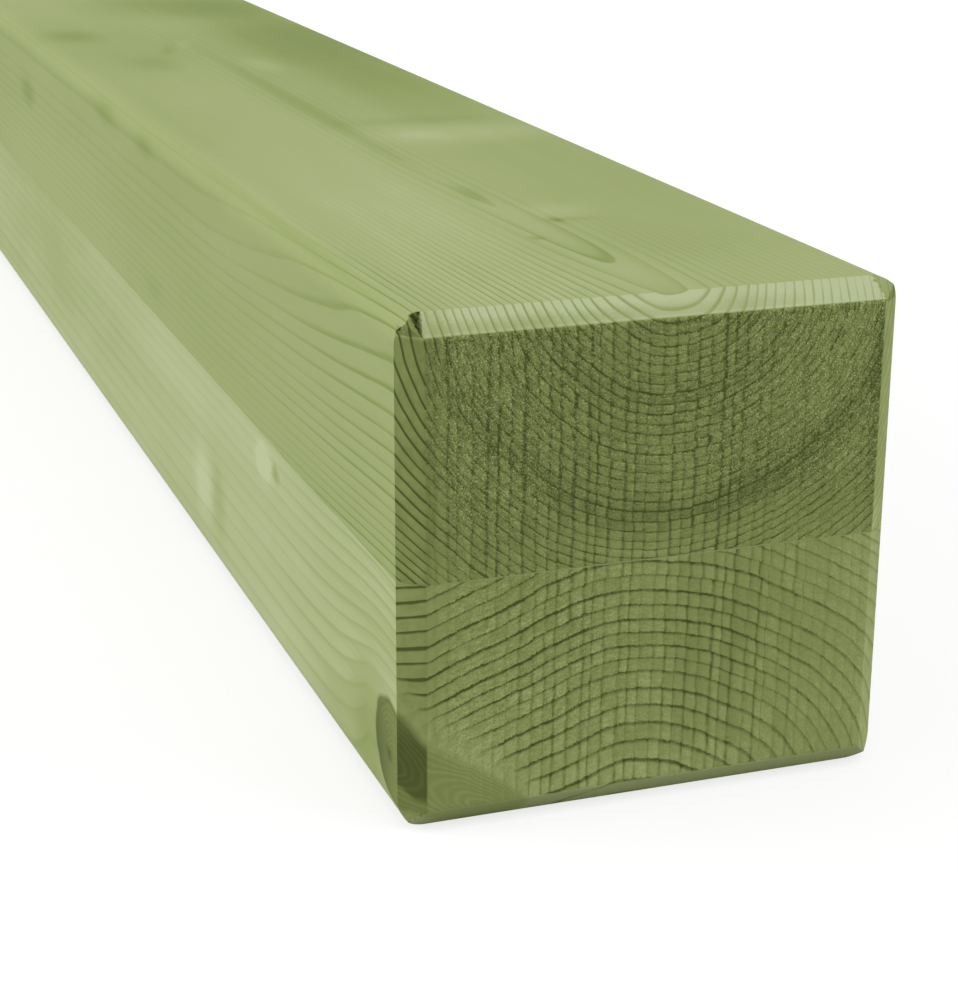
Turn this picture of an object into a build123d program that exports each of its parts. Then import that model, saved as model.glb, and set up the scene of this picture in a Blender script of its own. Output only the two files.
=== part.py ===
from build123d import *
from math import cos, radians, sin, sqrt
import os

# A pressure-treated glulam post, lying along Y with its broken corner at the near end.
# Two planed laminations and the glue line between them. Millimetres, origin under the middle.

# The post
post_length = 2400.0
post_width = 90.0
lamination_thickness = 44.9
glue_thickness = 0.2

# Planed long edges and sawn end bevels
edge_radius = 5.0
end_bevel = 4.0

# Hollow left at the near end's upper left corner, where a splinter came away between two growth
# rings. Across is measured in from the left side, down from the top, and in from the end.
hollow_left_across = 2.3
hollow_right_across = 4.6
hollow_root_across = 3.65
hollow_root_down = 3.4
hollow_depth = 5.0

# Chip beside the hollow: one ring's corner, lost down to a face that slopes back into the edge
chip_ring_across = 0.85
chip_ring_down = 1.7
chip_root_across = 1.5
chip_root_down = 3.4
chip_slope = 45.0

# How far a cutting shape stands out of the wood, so that it leaves no skin behind
overshoot = 3.0

# Worked out from the sizes above
post_height = 2 * lamination_thickness + glue_thickness
left_side = -post_width / 2
near_end = -post_length / 2
glue_bottom = lamination_thickness
glue_top = lamination_thickness + glue_thickness


def bevelled_bar(plane, width, height, length):
    """A bar through the post's middle with 45 degree bevels along its four edges."""
    outline = plane * Rectangle(width, height)
    return extrude(chamfer(outline.vertices(), end_bevel), length / 2, both=True)


def planed_post():
    """The glued post, planed with rounded long edges and bevelled on all four sides of each end."""
    middle = (0, 0, post_height / 2)
    along = Plane(origin=middle, x_dir=(1, 0, 0), z_dir=(0, -1, 0))
    from_above = Plane(origin=middle, x_dir=(1, 0, 0), z_dir=(0, 0, 1))
    from_side = Plane(origin=middle, x_dir=(0, 1, 0), z_dir=(1, 0, 0))
    section = along * RectangleRounded(post_width, post_height, edge_radius)
    planed = extrude(section, post_length / 2, both=True)
    side_bevels = bevelled_bar(from_above, post_width, post_length, post_height)
    top_bevels = bevelled_bar(from_side, post_length, post_height, post_width)
    return planed & side_bevels & top_bevels


def slab(bottom, top):
    """A slice of the post's whole length and width between two heights."""
    width = post_width + 2 * overshoot
    length = post_length + 2 * overshoot
    height = top - bottom
    return Pos(0, 0, bottom + height / 2) * Box(width, length, height)


def corner_prism(points, depth):
    """A prism run in from the near end, its section given as across and down from the corner."""
    section_plane = Plane(origin=(left_side, near_end - overshoot, post_height),
                          x_dir=(1, 0, 0), z_dir=(0, 1, 0))
    section = section_plane * Polygon(*points, align=None)
    return extrude(section, depth + overshoot, dir=(0, 1, 0))


def splinter_hollow():
    """The wedge between two growth rings that came away from the corner."""
    left_lean = (hollow_root_across - hollow_left_across) / hollow_root_down
    right_lean = (hollow_right_across - hollow_root_across) / hollow_root_down
    points = [
        (hollow_root_across, hollow_root_down),
        (hollow_right_across + right_lean * overshoot, -overshoot),
        (hollow_left_across - left_lean * overshoot, -overshoot),
    ]
    return corner_prism(points, hollow_depth)


def ring_chip():
    """The corner of the outer ring, lost above a face that slopes back into the long edge."""
    ring_lean = (chip_root_across - chip_ring_across) / (chip_root_down - chip_ring_down)
    points = [
        (-overshoot, chip_root_down),
        (chip_root_across, chip_root_down),
        (chip_ring_across - ring_lean * (chip_ring_down + overshoot), -overshoot),
        (-overshoot, -overshoot),
    ]
    outer_ring = corner_prism(points, end_bevel + overshoot)
    root = (left_side, near_end + end_bevel, post_height - chip_root_down)
    outward = -sin(radians(chip_slope)) / sqrt(2)
    upward = cos(radians(chip_slope))
    sloped_face = Plane(origin=root, x_dir=(1, -1, 0), z_dir=(outward, outward, upward))
    reach = 4 * (end_bevel + overshoot)
    return outer_ring & sloped_face * Pos(0, 0, reach / 2) * Box(reach, reach, reach)


if __name__ == "__main__":
    post = planed_post()
    lower_lamination = post & slab(-overshoot, glue_bottom)
    glue_line = post & slab(glue_bottom, glue_top)
    upper_lamination = post & slab(glue_top, post_height + overshoot)
    upper_lamination = upper_lamination - splinter_hollow() - ring_chip()
    pieces = {
        "lower_lamination": lower_lamination,
        "glue_line": glue_line,
        "upper_lamination": upper_lamination,
    }
    os.makedirs("parts", exist_ok=True)
    for name, piece in pieces.items():
        export_step(piece, f"parts/{name}.step")
        box = piece.bounding_box()
        print(name, piece.is_valid, round(piece.volume), box.min, box.max)
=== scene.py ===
"""Looks of a pressure-treated glulam post: two planed laminations, their glue line and a broken corner.

Sizes in the classes are millimetres from the middle of the near end: x to the right, y along the post
and z up from the glue line. Meshes are written in metres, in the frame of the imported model.
"""

import logging
from dataclasses import dataclass
from enum import Enum

import bmesh
import bpy
import numpy as np
from mathutils import Matrix, Vector


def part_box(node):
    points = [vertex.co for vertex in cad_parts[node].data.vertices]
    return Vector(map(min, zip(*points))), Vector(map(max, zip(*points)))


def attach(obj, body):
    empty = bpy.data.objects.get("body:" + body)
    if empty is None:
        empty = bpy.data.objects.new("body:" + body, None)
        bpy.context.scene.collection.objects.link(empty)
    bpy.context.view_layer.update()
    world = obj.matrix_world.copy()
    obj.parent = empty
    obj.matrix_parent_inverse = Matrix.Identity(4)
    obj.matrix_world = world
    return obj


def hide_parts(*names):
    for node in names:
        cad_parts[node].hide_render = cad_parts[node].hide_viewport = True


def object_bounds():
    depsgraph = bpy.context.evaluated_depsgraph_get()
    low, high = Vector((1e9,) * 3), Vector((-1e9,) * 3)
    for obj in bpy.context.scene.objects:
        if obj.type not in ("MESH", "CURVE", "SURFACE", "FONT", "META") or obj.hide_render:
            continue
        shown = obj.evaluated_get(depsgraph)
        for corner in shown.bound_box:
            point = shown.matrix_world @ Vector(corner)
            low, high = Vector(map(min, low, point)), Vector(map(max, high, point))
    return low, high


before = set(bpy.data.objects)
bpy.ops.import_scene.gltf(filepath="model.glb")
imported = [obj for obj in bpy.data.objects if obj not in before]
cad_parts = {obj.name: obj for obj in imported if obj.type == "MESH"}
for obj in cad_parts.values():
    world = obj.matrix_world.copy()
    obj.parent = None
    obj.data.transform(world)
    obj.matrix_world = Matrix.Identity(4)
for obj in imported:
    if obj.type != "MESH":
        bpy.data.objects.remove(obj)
cad_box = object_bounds()

Array = np.ndarray
Point = tuple[float, float, float]
Colour = tuple[float, float, float]
Socket = bpy.types.NodeSocket

# A millimetre in the frame's metres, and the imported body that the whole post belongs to.
MM = 0.001
BODY = "root"
# Faces that meet at more than this many degrees keep a sharp edge between them.
SHARP_ANGLE = 38.0
# How far behind the near end its bevels and its broken corner reach, with a little to spare.
END_REACH = 9.0
# How strongly a listed mark with a shade of 1 changes the wood's tone.
MARK_STRENGTH = 0.3
# Added to the saw-mark counts, which start in the middle of the end, to keep them above zero.
COUNT_BASE = 400.0
# Added to a ring count to tell the rings apart where a dark line ends, just short of a whole number.
LINE_END = 0.07
# Keeps the random numbers of neighbouring saw marks apart.
MARKS_APART = 37.0

log = logging.getLogger("glulam_post")


class Side(Enum):
    """The post's near end and its sides as seen from there, each with its outward direction, x then z."""

    END = (0, 0)
    LEFT = (-1, 0)
    RIGHT = (1, 0)
    TOP = (0, 1)
    UNDER = (0, -1)


class Layer(Enum):
    """Which side of the glue line a lamination lies on."""

    LOWER = -1
    UPPER = 1


def eased(at: Array, stations: Array, values: Array) -> Array:
    """Reads a smooth curve through given stations.

    Args:
        at: places to read it at.
        stations: the curve's stations, rising.
        values: its value at each station.

    Returns:
        The curve's value at each place, held beyond both ends.
    """
    slopes = np.gradient(values, stations)
    i = np.clip(np.searchsorted(stations, at) - 1, 0, len(stations) - 2)
    gap = stations[i + 1] - stations[i]
    t = np.clip((at - stations[i]) / gap, 0, 1)
    ease = t * t * (3 - 2 * t)
    leave = slopes[i] * t * (1 - t) ** 2
    arrive = slopes[i + 1] * t * t * (1 - t)
    return values[i] * (1 - ease) + values[i + 1] * ease + gap * (leave - arrive)


def step(value: Array, low: float, high: float) -> Array:
    """Rises smoothly from 0 at low to 1 at high, or falls where high is the smaller.

    Args:
        value: the numbers that it follows.
        low: where it leaves 0.
        high: where it reaches 1.

    Returns:
        A share from 0 to 1 for each number.
    """
    t = np.clip((value - low) / (high - low), 0, 1)
    return t * t * (3 - 2 * t)


@dataclass(frozen=True)
class PostShape:
    """The planed post's outline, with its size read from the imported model."""

    width: float
    height: float
    length: float
    edge_radius: float = 5.0
    end_bevel: float = 4.0
    arris_round: float = 0.22
    hollow_left: float = -42.7
    hollow_right: float = -40.4
    hollow_root: tuple[float, float] = (-41.35, 41.6)
    hollow_depth: float = 5.0
    chip_ring: tuple[float, float] = (-44.15, 43.3)
    chip_root: tuple[float, float] = (-43.5, 41.6)

    @property
    def flat(self) -> float:
        """How far the flat part of an end reaches from its middle."""
        return self.width / 2 - self.end_bevel

    @property
    def corner_foot(self) -> float:
        """The height at which the broken corner starts."""
        return self.hollow_root[1] - 0.1

    def hollow_wall(self, z: Array) -> Array:
        """Where the hollow's left wall is across the end, at each height."""
        return self.hollow_root[0] - 0.4 * (z - self.hollow_root[1])

    def bevel_depth(self, x: Array, z: Array) -> Array:
        """How far the sawn end lies back from the end plane: flat, then bevelled on all four sides.

        Args:
            x: places across the end.
            z: heights on the end.

        Returns:
            The depth of the sawn surface behind the end plane.
        """
        outside = np.maximum(np.abs(x) - self.width / 2, np.abs(z) - self.height / 2) + self.end_bevel
        soft = self.arris_round
        softened = (outside + np.sqrt(outside**2 + soft**2)) / 2
        return np.maximum(softened - soft / 2 * step(outside, 0, 2), 0)

    def broken_depth(self, x: Array, z: Array) -> Array:
        """Adds the near end's broken corner: the splinter's hollow and the chip beside it.

        Args:
            x: places across the end.
            z: heights on the end.

        Returns:
            The depth of the surface behind the end plane.
        """
        depth = self.bevel_depth(x, z)
        root_x, root_z = self.hollow_root
        rise = (z - root_z) / (self.height / 2 - root_z)
        ragged = 0.04 * np.sin(9.0 * z) + 0.03 * np.sin(19.0 * z + 1.0)
        left = root_x + (self.hollow_left - root_x) * rise + ragged
        right = root_x + (self.hollow_right - root_x) * rise - ragged
        inside = (rise > 0) & (x > left) & (x < right)
        floor = self.hollow_depth - 0.5 * np.abs(np.sin(2.1 * x + 1.7 * z))
        depth = np.where(inside, np.maximum(depth, floor), depth)
        ring_x, ring_z = self.chip_ring
        lean = (ring_x - self.chip_root[0]) / (ring_z - self.chip_root[1])
        edge = self.chip_root[0] + lean * (z - self.chip_root[1])
        slope = self.end_bevel - (x + self.width / 2) + np.sqrt(2) * (z - self.chip_root[1])
        chipped = (x < edge) & (z > self.chip_root[1])
        face = np.minimum(slope + 0.05 * np.sin(5.0 * x + 3.0 * z), self.end_bevel + 1.2)
        return np.where(chipped, np.maximum(depth, face), depth)

    def rounded(self, x: Array, z: Array) -> tuple[Array, Array]:
        """Draws the corner squares of a square grid in to the rounded long edges.

        Args:
            x: places across the end.
            z: heights on the end.

        Returns:
            The same places, moved in where they lay outside the rounding.
        """
        a = np.maximum(np.abs(x) - self.width / 2 + self.edge_radius, 0)
        b = np.maximum(np.abs(z) - self.height / 2 + self.edge_radius, 0)
        draw = np.where((a > 0) & (b > 0), np.maximum(a, b) / np.maximum(np.hypot(a, b), 1e-9), 1.0)
        return x - np.sign(x) * a * (1 - draw), z - np.sign(z) * b * (1 - draw)


@dataclass(frozen=True)
class Knot:
    """A branch grown outwards from the pith as a cone, with the trunk's rings bent round it."""

    apex: Point
    axis: Point
    half_angle: float
    pushed_within: float
    push: float
    push_fade: float
    inner_rings: float
    tallness: float = 1.2

    def direction(self) -> Array:
        """The branch's axis of length one, with its tallness along the post taken away."""
        axis = np.array(self.axis) / (1, self.tallness, 1)
        return axis / np.linalg.norm(axis)

    def angle(self, points: Array) -> Array:
        """The angle from the branch's axis, seen from its apex.

        Args:
            points: places in the wood, one row each.

        Returns:
            The angle at each place, in degrees.
        """
        reach = (points - np.array(self.apex)) / (1, self.tallness, 1)
        axis = self.direction()
        length = np.maximum(np.linalg.norm(reach, axis=1), 1e-6)
        return np.degrees(np.arccos(np.clip(reach @ axis / length, -1, 1)))

    def outward_push(self, points: Array) -> Array:
        """The share by which the trunk's rings stand further out, near the branch."""
        beyond = np.maximum(self.angle(points) - self.pushed_within, 0)
        return self.push * np.exp(-beyond / self.push_fade)


@dataclass(frozen=True)
class GrowthRings:
    """A trunk's growth rings: its pith's wandering path, its years' widths and how far it is from round."""

    pith: tuple[Point, ...]
    bands: tuple[tuple[int, float], ...]
    swell: tuple[Point, ...]
    drift_kept: tuple[float, float]
    drift_fade: float
    layer: Layer
    dark_years: tuple[Point, ...] = ()
    swell_change: tuple[float, float] = (18.0, 45.0)

    def radius(self, points: Array) -> Array:
        """Distance from the pith, with the trunk's out-of-round taken away.

        Args:
            points: places in the wood, one row each.

        Returns:
            The radius that each place would have in a round trunk.
        """
        along, across, up = np.array(self.pith).T
        drift_x = eased(points[:, 1], along, across) - across[0]
        drift_z = eased(points[:, 1], along, up) - up[0]
        near = np.ones(len(points))
        kept_x, kept_z = self.drift_kept
        for _ in range(3):
            dx = points[:, 0] - across[0] - (kept_x + (1 - kept_x) * near) * drift_x
            dz = points[:, 2] - up[0] - (kept_z + (1 - kept_z) * near) * drift_z
            radius = np.hypot(dx, dz)
            near = np.exp(-(radius / self.drift_fade) ** 2)
        turn, inner, outer = np.array(self.swell).T
        angle = np.degrees(np.arctan2(dx, -self.layer.value * dz))
        out = step(radius, *self.swell_change)
        swell = (1 - out) * eased(angle, turn, inner) + out * eased(angle, turn, outer)
        return radius / (1 + swell)

    def year_tone(self, count: Array) -> Array:
        """How much paler or darker the wood is in the years that stand out."""
        marks = (depth * np.exp(-((count - year) / spread) ** 2) for year, spread, depth in self.dark_years)
        return sum(marks, np.zeros(len(count)))

    def count(self, points: Array, knot: Knot | None) -> Array:
        """How many years' rings lie inside each place.

        Args:
            points: places in the wood, one row each.
            knot: a branch that bends the rings, if there is one.

        Returns:
            The ring count, a whole number at each ring's dark edge.
        """
        radius = self.radius(points)
        if knot:
            radius = radius / (1 + knot.outward_push(points))
        years, widths = np.array(self.bands).T
        edges = np.concatenate([[0], np.cumsum(years * widths)])
        counts = np.concatenate([[0], np.cumsum(years)])
        return np.interp(radius, edges, counts) + np.maximum(radius - edges[-1], 0) / widths[-1]


@dataclass(frozen=True)
class Mark:
    """A pale or dark patch, streak or pin knot on one side of the post or on its near end.

    On a side, along runs away from the near end, and across is a height or a place between the sides.
    On the end, along is a height.
    """

    side: Side
    across: float
    along: float
    half_across: float
    half_along: float
    shade: float
    lean: float = 0.0

    def tone(self, points: Array, shape: PostShape) -> Array:
        """The patch's shade at each place, fading out at its rim.

        Args:
            points: places on the surface, one row each.
            shape: the post's outline, which says where its sides are.

        Returns:
            The shade, positive where paler.
        """
        x, y, z = points.T
        nx, nz = self.side.value
        if self.side is Side.END:
            on_side = step(y, 4.0, 0.5)
        else:
            on_side = step(nx * x + nz * z, shape.width / 2 - 2.5, shape.width / 2 - 0.5)
        place = z if nx else x
        along = (z if self.side is Side.END else y) - self.along
        across = place - self.across - self.lean * along
        rim = (across / self.half_across) ** 2 + (along / self.half_along) ** 2
        return self.shade * on_side * np.exp(-(rim**1.5))


class MeshMaker:
    """Gathers vertices and faces, in millimetres, and turns them into a closed mesh object."""

    def __init__(self) -> None:
        """Starts with nothing."""
        self.blocks: list[Array] = []
        self.faces: list[tuple[int, ...]] = []
        self.total = 0

    def add(self, points: Array) -> Array:
        """Adds vertices.

        Args:
            points: their places, one row each.

        Returns:
            Their numbers.
        """
        self.blocks.append(points)
        numbers = np.arange(self.total, self.total + len(points))
        self.total += len(points)
        return numbers

    def cover(self, grid: Array) -> None:
        """Covers a grid with quads.

        Args:
            grid: the grid's vertex numbers.
        """
        a, b = grid[:-1, :-1].ravel(), grid[1:, :-1].ravel()
        c, d = grid[1:, 1:].ravel(), grid[:-1, 1:].ravel()
        self.faces += list(zip(a.tolist(), b.tolist(), c.tolist(), d.tolist()))

    def zip_rows(self, first: Array, first_at: Array, second: Array, second_at: Array) -> None:
        """Joins two rows of different counts with triangles.

        Args:
            first: vertex numbers of one row.
            first_at: how far along the row each of them is.
            second: vertex numbers of the other row.
            second_at: how far along the row each of them is.
        """
        i = 0
        j = 0
        first_end, second_end = len(first) - 1, len(second) - 1
        while i < first_end or j < second_end:
            step_first = j == second_end or (i < first_end and first_at[i + 1] <= second_at[j + 1])
            ahead = first[i + 1] if step_first else second[j + 1]
            self.faces.append((int(first[i]), int(second[j]), int(ahead)))
            i, j = (i + 1, j) if step_first else (i, j + 1)

    def build(self, name: str, shape: PostShape, attributes: dict[str, Array]) -> bpy.types.Object:
        """Makes the mesh object, in metres, with its faces outwards.

        Args:
            name: the object's name.
            shape: the post, whose near end is moved to its place in the frame.
            attributes: a number for each vertex, under each attribute's name.

        Returns:
            The object, linked to the scene.
        """
        points = np.concatenate(self.blocks) + np.array([0, -shape.length / 2, shape.height / 2])
        mesh = bpy.data.meshes.new(name)
        mesh.from_pydata((points * MM).tolist(), [], self.faces)
        for key, values in attributes.items():
            stored = mesh.attributes.new(key, "FLOAT", "POINT")
            stored.data.foreach_set("value", values.astype(np.float32))
        work = bmesh.new()
        work.from_mesh(mesh)
        bmesh.ops.recalc_face_normals(work, faces=work.faces)
        open_edges = sum(not edge.is_manifold for edge in work.edges)
        work.to_mesh(mesh)
        work.free()
        mesh.shade_smooth()
        mesh.set_sharp_from_angle(angle=np.radians(SHARP_ANGLE))
        piece = bpy.data.objects.new(name, mesh)
        bpy.context.scene.collection.objects.link(piece)
        log.info("%s: %d faces, %d open edges", name, len(mesh.polygons), open_edges)
        return piece


class NodeBench:
    """Adds and joins shader or geometry nodes in few words."""

    def __init__(self, tree: bpy.types.NodeTree) -> None:
        """Works on one node tree, which it empties."""
        self.tree = tree
        tree.nodes.clear()

    def put(self, kind: str, **settings: object) -> bpy.types.Node:
        """Adds a node.

        Args:
            kind: the node's type name.
            settings: its properties, each set by name.

        Returns:
            The node.
        """
        node = self.tree.nodes.new(kind)
        for key, value in settings.items():
            setattr(node, key, value)
        return node

    def feed(self, socket: Socket, source: object) -> None:
        """Joins a socket to another one, or gives it a plain value.

        Args:
            socket: the input to fill.
            source: another node's output, or a value.
        """
        if isinstance(source, bpy.types.NodeSocket):
            self.tree.links.new(source, socket)
        else:
            socket.default_value = source

    def math(self, operation: str, a: object, b: object = 0.0, c: object = 0.0) -> Socket:
        """Works out one sum of up to three numbers.

        Args:
            operation: the sum's name, as the math node has it.
            a: the first number.
            b: the second number.
            c: the third number.

        Returns:
            The result's socket.
        """
        node = self.put("ShaderNodeMath", operation=operation)
        for socket, source in zip(node.inputs, (a, b, c)):
            self.feed(socket, source)
        return node.outputs[0]

    def scaled(self, value: object, factor: object, plus: object = 0.0) -> Socket:
        """Multiplies a number and adds another."""
        return self.math("MULTIPLY_ADD", value, factor, plus)

    def times(self, a: object, b: object) -> Socket:
        """Multiplies two numbers."""
        return self.math("MULTIPLY", a, b)

    def rest(self, share: object) -> Socket:
        """What a share leaves of 1."""
        return self.math("SUBTRACT", 1.0, share)

    def rise(self, value: object, low: object, high: object) -> Socket:
        """Rises smoothly from 0 to 1.

        Args:
            value: the number that it follows.
            low: where it leaves 0.
            high: where it reaches 1.

        Returns:
            The result's socket.
        """
        node = self.put("ShaderNodeMapRange", interpolation_type="SMOOTHSTEP")
        for name, source in (("Value", value), ("From Min", low), ("From Max", high)):
            self.feed(node.inputs[name], source)
        return node.outputs["Result"]


@dataclass(frozen=True)
class Noise:
    """A noise's cycles per millimetre across, along and up the post, and how many finer layers it has."""

    across: float
    along: float
    up: float
    detail: float = 2.0
    rough: float = 0.5


CLOUD = Noise(0.035, 0.012, 0.035, 3.0, 0.55)
FIBRES = Noise(2.2, 0.05, 2.2, 3.0, 0.6)
STREAKS = Noise(0.12, 0.006, 0.12)
RING_WANDER = Noise(0.22, 0.012, 0.22)
PATCHY_RINGS = Noise(0.3, 0.02, 0.3, 3.0)
RAGGED_RINGS = Noise(1.1, 0.2, 1.1, 2.0, 0.6)
HIDDEN_RINGS = Noise(0.22, 0.2, 0.22, 3.0, 0.6)
FUZZ = Noise(3.6, 3.6, 3.6, 1.0, 0.6)
BLOTCH = Noise(0.55, 0.5, 0.45, 3.0, 0.6)
SAW_WANDER = Noise(0.6, 0.3, 0.5)
SAW_PRESSURE = Noise(0.5, 0.3, 0.4, 3.0)
KNOT_EDGE = Noise(0.25, 0.2, 0.25, 1.0)
KNOT_BEND = Noise(0.12, 0.1, 0.12)
GLUE_MOTTLE = Noise(0.5, 0.2, 0.5, 3.0)


class ShaderBench(NodeBench):
    """A node bench with the wood shader's own tools."""

    def vector(self, operation: str, a: object, b: object = (0.0, 0.0, 0.0)) -> Socket:
        """Works out one sum of up to two vectors.

        Args:
            operation: the sum's name, as the vector math node has it.
            a: the first vector.
            b: the second vector, if the sum has one.

        Returns:
            The result's socket, a vector or, for a dot product, a number.
        """
        node = self.put("ShaderNodeVectorMath", operation=operation)
        self.feed(node.inputs[0], a)
        if len(node.inputs) > 1 and node.inputs[1].enabled:
            self.feed(node.inputs[1], b)
        return node.outputs["Value" if operation == "DOT_PRODUCT" else "Vector"]

    def number(self, name: str) -> Socket:
        """Reads one of the mesh's own numbers."""
        return self.put("ShaderNodeAttribute", attribute_name=name).outputs["Fac"]

    def stretched(self, across: float, along: float, up: float) -> Socket:
        """Object coordinates, stretched for a noise.

        Args:
            across: cycles per millimetre across the post.
            along: cycles per millimetre along it.
            up: cycles per millimetre upwards.

        Returns:
            The vector's socket.
        """
        place = self.put("ShaderNodeTexCoord").outputs["Object"]
        mapping = self.put("ShaderNodeMapping")
        mapping.inputs["Scale"].default_value = (across / MM, along / MM, up / MM)
        self.feed(mapping.inputs["Vector"], place)
        return mapping.outputs["Vector"]

    def field(self, noise: Noise) -> Socket:
        """Reads a named noise at each place, roughly from -1 to 1."""
        return self.noise(self.stretched(noise.across, noise.along, noise.up), noise.detail, noise.rough)

    def noise(self, vector: Socket, detail: float, rough: float) -> Socket:
        """Smooth noise about zero, roughly from -1 to 1.

        Args:
            vector: where to read it.
            detail: how many finer layers it has.
            rough: how strong the finer layers are.

        Returns:
            The noise's socket.
        """
        node = self.put("ShaderNodeTexNoise", noise_dimensions="3D")
        self.feed(node.inputs["Vector"], vector)
        node.inputs["Scale"].default_value = 1.0
        node.inputs["Detail"].default_value = detail
        node.inputs["Roughness"].default_value = rough
        return self.scaled(node.outputs["Fac"], 4.0, -2.0)

    def chance(self, value: Socket) -> Socket:
        """A random number for each whole number.

        Args:
            value: the number, whose whole part counts.

        Returns:
            The random number's socket, from 0 to 1.
        """
        node = self.put("ShaderNodeTexWhiteNoise", noise_dimensions="1D")
        self.feed(node.inputs["W"], self.math("FLOOR", value))
        return node.outputs["Value"]

    def palette(self, value: Socket, stops: tuple[tuple[float, Colour], ...]) -> Socket:
        """Turns a tone into one of the finish's colours.

        Args:
            value: the tone, from 0 for the darkest.
            stops: where each colour lies, and the colour as seen, from 0 to 255.

        Returns:
            The colour socket.
        """
        node = self.put("ShaderNodeValToRGB")
        ramp = node.color_ramp
        while len(ramp.elements) < len(stops):
            ramp.elements.new(0.5)
        for element, (place, colour) in zip(ramp.elements, stops):
            element.position = place
            element.color = (*(plain_colour(part) for part in colour), 1.0)
        self.feed(node.inputs["Fac"], value)
        return node.outputs["Color"]

    def blend(self, share: object, a: object, b: object) -> Socket:
        """Mixes two colours.

        Args:
            share: how much of the second one shows.
            a: the first colour.
            b: the second colour.

        Returns:
            The mixed colour's socket.
        """
        node = self.put("ShaderNodeMix", data_type="RGBA")
        for place, source in ((0, share), (6, a), (7, b)):
            self.feed(node.inputs[place], source)
        return node.outputs[2]


def plain_colour(seen: float) -> float:
    """Turns a colour part as seen on a screen, 0 to 255, into light."""
    part = seen / 255
    return part / 12.92 if part <= 0.04045 else ((part + 0.055) / 1.055) ** 2.4


@dataclass(frozen=True)
class Grain:
    """Node outputs that the planed and the sawn wood share.

    Attributes:
        sawn: 1 on the flat of a sawn end.
        torn: how torn the end grain is.
        fuzz: fine fibres that stand up from it.
        cloud: slow changes of tone.
        even_ring: the growth-ring count in the clean wood.
        ring: the count as the saw left it, a whole number at each ring's dark edge.
        saw: the saw-mark count, shifted a little from ring to ring.
        line: how dark the year's late wood is.
        shade: how far into the year the wood is.
        tone: the listed marks, the knot's halo and the painted light and shade at the ends' edges, bevels
            and broken corner.
    """

    sawn: Socket
    torn: Socket
    fuzz: Socket
    cloud: Socket
    even_ring: Socket
    ring: Socket
    saw: Socket
    line: Socket
    shade: Socket
    tone: Socket


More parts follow.
